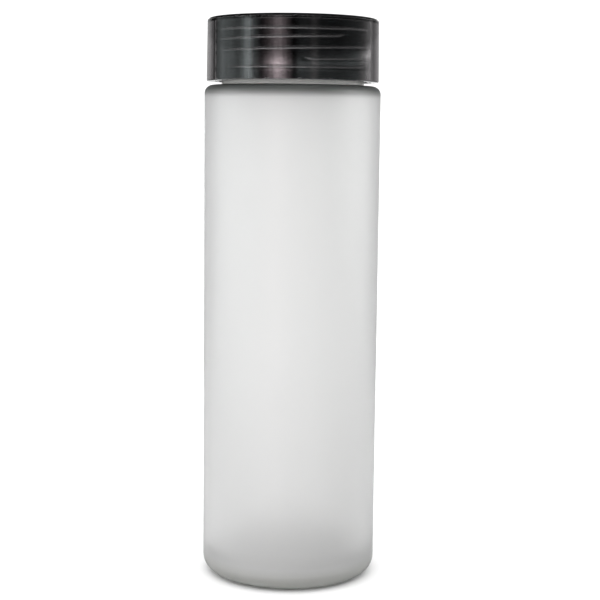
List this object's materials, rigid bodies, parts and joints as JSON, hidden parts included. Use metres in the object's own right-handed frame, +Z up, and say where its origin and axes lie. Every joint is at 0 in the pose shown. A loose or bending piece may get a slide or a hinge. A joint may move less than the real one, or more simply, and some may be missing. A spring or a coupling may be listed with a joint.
{
  "type": "water bottle",
  "caption": "Straight round frosted glass water bottle with a wide threaded neck, a clear smoke-grey screw lid shell, a dark threaded liner inside it and a sealing ring.",
  "frame": {"origin": "middle of the foot, on the surface that the bottle stands on", "axes": "+Z up along the bottle's axis, -Y towards the front that the picture shows, +X to the right of that view"},
  "size_m": [0.065, 0.065, 0.207],
  "materials": {
    "frosted_glass": "frosted outside, smooth inside and on the neck",
    "smoke_plastic": "clear grey, polished",
    "dark_plastic": "polished near-black",
    "silicone": "matt translucent white"
  },
  "bodies": {
    "bottle": {"glass": "frosted_glass"},
    "seal": {"gasket": "silicone"},
    "lid": {"lid_shell": "smoke_plastic", "lid_liner": "dark_plastic"}
  },
  "joints": [
    {"name": "lid_lift", "type": "slide", "parent": "bottle", "child": "seal", "axis": [0, 0, 1], "range_m": [0, 0.02001]},
    {"name": "lid_turn", "type": "hinge", "parent": "seal", "child": "lid", "pos_m": [0, 0, 0], "axis": [0, 0, 1], "range_deg": [0, 1800]}
  ],
  "couplings": [
    {"joint": "lid_lift", "follows": "lid_turn", "m_per_rad": 0.00063662}
  ]
}
